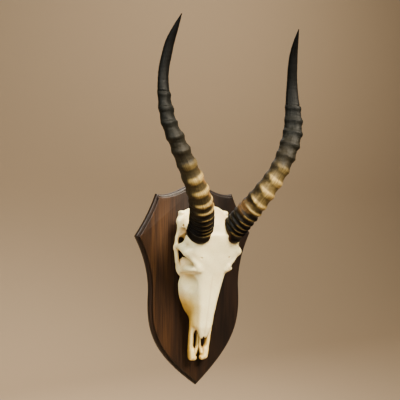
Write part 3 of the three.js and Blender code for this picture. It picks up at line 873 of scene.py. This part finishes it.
def make_horn(name, side, tree, material):
    line = horn_line(side)
    modifier = line.modifiers.new("ringed_horn", "NODES")
    modifier.node_group = tree
    settings = {
        "Ring height": RING_HEIGHT * MM,
        "Ringed length": RINGED_LENGTH * MM,
        "Ring count": float(RING_COUNT),
        "Ring dip": RING_DIP * MM,
        "Steps": HORN_STEPS,
        "Sides": HORN_SIDES,
        "Material": material,
    }
    for item in tree.interface.items_tree:
        if item.in_out == "INPUT" and item.name in settings:
            modifier[item.identifier] = settings[item.name]
    evaluated = line.evaluated_get(bpy.context.evaluated_depsgraph_get())
    mesh = bpy.data.meshes.new_from_object(evaluated)
    made = bpy.data.objects.new(f"horn_{name}_keratin", mesh)
    bpy.context.collection.objects.link(made)
    bpy.data.objects.remove(line)
    mesh.shade_smooth()

    count = len(mesh.vertices)
    points = np.zeros(count * 3, dtype=np.float32)
    mesh.vertices.foreach_get("co", points)
    points = points.reshape(-1, 3)
    normals = np.zeros(count * 3, dtype=np.float32)
    mesh.vertex_normals.foreach_get("vector", normals)
    normals = normals.reshape(-1, 3)
    read = {}
    for key in ("along", "crest"):
        read[key] = np.zeros(count, dtype=np.float32)
        mesh.attributes[key].data.foreach_get("value", read[key])
    along = read["along"] / MM

    # above the middle each horn is oval, widest towards its outer front
    widest = normals @ np.array((side * math.sqrt(0.5), -math.sqrt(0.5), 0.0))
    oval = OVAL_DEPTH * np.exp(-(((along - OVAL_PLACE) / OVAL_REACH) ** 2))
    points += normals * (oval * MM * (2 * widest**2 - 1))[:, None]
    # the mouth of the sheath, close to the bone
    off_bone = skull_field(list(from_trophy(points).T))
    rim = np.exp(-(((off_bone - 0.8) / 1.0) ** 2))
    points += normals * (rim * MOUTH_FLARE * MM)[:, None]
    mesh.vertices.foreach_set("co", points.ravel())
    mesh.update()

    # straw coloured ridges on the front, and a frayed tan strip on the inner side
    near_root = smooth_step(95, 60, along)
    front = normals @ np.array(WORN_FRONT)
    front += (normals @ np.array(WORN_ROOT[side]) - front) * near_root
    straw = smooth_step(0.15 + 0.65 * near_root, 0.55 + 0.38 * near_root, front)
    straw *= smooth_step(0.2 + 0.2 * near_root, 0.7 + 0.2 * near_root, read["crest"])
    between = BETWEEN_SHARE[side]
    straw = straw * (1 - between) + between * smooth_step(70, 95, along) * smooth_step(-0.1, 0.5, front)
    straw *= smooth_step(20, 32, along) * smooth_step(185, 135, along)
    inner = smooth_step(0.45, 0.9, -side * normals[:, 0])
    strip_end = STRIP_END[side]
    fibre = inner * smooth_step(60, 80, along) * smooth_step(strip_end, strip_end - 30, along) * 0.8
    add_values(made, "straw", straw)
    add_values(made, "fibre", fibre)
    add_values(made, "rim", rim * 0.8)
    finish_piece(made, f"horn_{name}", material)


# Shield
EDGE_PROFILE = [
    (0.8, 0),
    (0, 0.8),
    (0, 6.0),
    (0.2, 6.9),
    (0.7, 7.9),
    (1.5, 8.7),
    (2.6, 9.3),
    (3.8, 9.6),
    (4.6, 9.7),
    (5.0, 9.9),
    (5.2, 10.4),
    (5.35, 12.0),
    (5.5, 12.8),
    (5.9, 13.4),
    (6.5, 13.8),
    (7.4, SHIELD_THICKNESS),
]
OUTLINE_STEPS = 36


def bezier(points, steps):
    """Points of a quadratic or cubic curve, without its last point."""
    t = np.linspace(0, 1, steps, endpoint=False)[:, None]
    level = [np.asarray(p, dtype=float) for p in points]
    while len(level) > 1:
        level = [a + (b - a) * t for a, b in zip(level, level[1:])]
    return level[0]


def shield_outline():
    """The outline as (x, z), anticlockwise as faced."""
    peak, tip = (0, SHIELD_HALF_HEIGHT), (0, -SHIELD_HALF_HEIGHT)
    right = np.concatenate(
        [
            bezier([peak, (22, 194), (52, 170), SHIELD_EAR], OUTLINE_STEPS),
            bezier([SHIELD_EAR, (98.5, 137), SHIELD_LOBE], OUTLINE_STEPS),
            bezier([SHIELD_LOBE, (112, 67), (SHIELD_WAIST[0], 35), SHIELD_WAIST], OUTLINE_STEPS),
            bezier([SHIELD_WAIST, (104, -85), (92, -127), tip], OUTLINE_STEPS),
            [tip],
        ]
    )
    left = right[1:-1] * (-1, 1)
    return np.concatenate([left, right[::-1]])


def inset_outline(outline, inset):
    """The outline moved inwards with mitred corners."""
    before = outline - np.roll(outline, 1, axis=0)
    after = np.roll(outline, -1, axis=0) - outline
    inward = []
    for edge in (before, after):
        edge = edge / np.linalg.norm(edge, axis=1)[:, None]
        inward.append(np.stack([-edge[:, 1], edge[:, 0]], axis=1))
    mitre = (inward[0] + inward[1]) / (1 + (inward[0] * inward[1]).sum(axis=1))[:, None]
    return outline + mitre * inset


def make_shield(material):
    outline = shield_outline()
    count = len(outline)
    rings = []
    for inset, out in EDGE_PROFILE:
        moved = inset_outline(outline, inset)
        rings.append(np.stack([moved[:, 0], np.full(count, -float(out)), moved[:, 1]], axis=1))
    faces = [list(range(count))[::-1]]
    for i in range(len(rings) - 1):
        for j in range(count):
            k = (j + 1) % count
            faces.append([i * count + j, i * count + k, (i + 1) * count + k, (i + 1) * count + j])
    last = (len(rings) - 1) * count
    faces.append([last + j for j in range(count)])
    made = mesh_object("shield_board", np.concatenate(rings) * MM, faces, smooth_angle=40)
    finish_piece(made, "shield", material)


# Tooth rows
TOOTH_LENGTHS = (9, 11, 12, 16, 18, 18)
TOOTH_WIDTHS = (9, 11, 12, 14, 15, 14)
TOOTH_ROW_START = (20, 98)
TOOTH_ROW_SPLAY = math.radians(3.5)
TOOTH_TOP = 12
# Height of the worn ends over the board, and how far their ridges stand up and down
TOOTH_WORN = 1.4
TOOTH_RIDGE = 0.7
TOOTH_OVERLAP = 0.4
TOOTH_LOW = (8, 92, -HEAD_LIFT - 2)
TOOTH_HIGH = (40, 186, 15)


def tooth_row_field(points):
    """Upper cheek teeth of the right side: lobed crowns, worn to low ridges where they chewed."""
    along_x = points[0] - TOOTH_ROW_START[0]
    along_u = points[1] - TOOTH_ROW_START[1]
    across = along_x * math.cos(TOOTH_ROW_SPLAY) - along_u * math.sin(TOOTH_ROW_SPLAY)
    along = along_u * math.cos(TOOTH_ROW_SPLAY) + along_x * math.sin(TOOTH_ROW_SPLAY)
    d = FAR
    start = 0.0
    for i, (length, width) in enumerate(zip(TOOTH_LENGTHS, TOOTH_WIDTHS)):
        lobes = 1 if i < 3 else 2
        lobe = length / lobes
        tooth = FAR
        for n in range(lobes):
            middle = start + (n + 0.5) * lobe
            squared = np.abs((along - middle) / (lobe * 0.53)) ** 3 + np.abs(across / (width * 0.5)) ** 3
            tooth = blend_union(tooth, (squared ** (1 / 3) - 1) * lobe * 0.5, 1.2)
        d = blend_union(d, tooth, 0.6)
        start += length - TOOTH_OVERLAP
    worn = TOOTH_WORN - HEAD_LIFT + TOOTH_RIDGE * np.cos(along * 0.8) * np.cos(across * 0.7)
    return np.maximum(np.maximum(d, worn - points[2]), points[2] - TOOTH_TOP)


def make_tooth_row(name, side, material):
    points, quads = field_mesh(tooth_row_field, TOOTH_LOW, TOOTH_HIGH, TOOTH_CELL)
    points[:, 0] *= side
    if side < 0:
        quads = quads[:, ::-1]
    made = mesh_object(f"tooth_row_{name}_enamel", to_trophy(points), quads)
    finish_piece(made, f"tooth_row_{name}", material)


# Stage, light and camera: the stage's sizes are in metres
FLOOR_HEIGHT = -0.9
FLOOR_FRONT = -5.0
FLOOR_BACK = 2.4
SWEEP_RADIUS = 1.2
SWEEP_STEPS = 24
BACKDROP_HEIGHT = 4.0
STAGE_HALF_WIDTH = 6.0


def make_stage():
    """A tan floor that sweeps up into a plain backdrop, far behind the trophy."""
    run = [(FLOOR_FRONT, FLOOR_HEIGHT)]
    for turn in np.linspace(0, math.pi / 2, SWEEP_STEPS):
        rise = SWEEP_RADIUS * (1 - math.cos(turn))
        run.append((FLOOR_BACK + SWEEP_RADIUS * math.sin(turn), FLOOR_HEIGHT + rise))
    run.append((FLOOR_BACK + SWEEP_RADIUS, BACKDROP_HEIGHT))
    points = [(side * STAGE_HALF_WIDTH, y, z) for y, z in run for side in (-1, 1)]
    faces = [(2 * i, 2 * i + 1, 2 * i + 3, 2 * i + 2) for i in range(len(run) - 1)]
    floor = mesh_object("floor", points, faces)
    floor.data.materials.append(plain_paint("pale_floor_paint", "#a8937a", 0.8))


def area_light(name, place, target, size, power, colour, spread=180):
    light = bpy.data.lights.new(name, "AREA")
    light.shape = "DISK"
    light.size = size
    light.energy = power
    light.color = linear(colour)[:3]
    light.spread = math.radians(spread)
    made = bpy.data.objects.new(name, light)
    made.location = place
    aim = np.asarray(target) - np.asarray(place)
    yaw = math.atan2(-aim[0], aim[1])
    pitch = math.atan2(aim[2], math.hypot(aim[0], aim[1])) + math.pi / 2
    made.rotation_euler = (pitch, 0, yaw)
    bpy.context.collection.objects.link(made)


def make_lights():
    middle = (0, -0.05, 0.1)
    area_light("key_light", (0.6, -1.9, 2.3), middle, 1.5, 64, "#fff1da", 60)
    area_light("fill_light", (-1.8, -1.5, 1.7), middle, 1.2, 122, "#f9faf0")
    area_light("back_light", (0.6, 2.0, 1.8), middle, 1.6, 24, "#f4f2ee")
    area_light("backdrop_light", (1.8, 0.8, 2.6), (2.6, 3.6, 0.3), 1.6, 100, "#fff1da")
    world = bpy.data.worlds.new("studio_air")
    world.use_nodes = True
    sky = world.node_tree.nodes["Background"]
    sky.inputs["Color"].default_value = linear("#c8bea4")
    sky.inputs["Strength"].default_value = 0.15
    bpy.context.scene.world = world


def make_camera():
    forward = np.array([math.sin(CAMERA_TURN), math.cos(CAMERA_TURN), 0])
    right = np.array([math.cos(CAMERA_TURN), -math.sin(CAMERA_TURN), 0])
    place = -CAMERA_ASIDE * right - CAMERA_DISTANCE * forward + np.array([0, 0, CAMERA_HEIGHT])
    lens = bpy.data.cameras.new("camera")
    lens.sensor_width = SENSOR_WIDTH
    lens.lens = SENSOR_WIDTH * FOCAL_LENGTH_IN_FRAMES
    made = bpy.data.objects.new("camera", lens)
    made.location = place * MM
    made.rotation_euler = (math.pi / 2, 0, -CAMERA_TURN)
    bpy.context.collection.objects.link(made)
    bpy.context.scene.camera = made


make_camera()
make_stage()
make_lights()
make_skull(bleached_bone())
keratin = horn_keratin()
enamel = yellowed_enamel()
horn_nodes = horn_tree()
for side_name, side_sign in (("left", -1), ("right", 1)):
    make_horn(side_name, side_sign, horn_nodes, keratin)
    make_tooth_row(side_name, side_sign, enamel)
make_shield(stained_walnut())
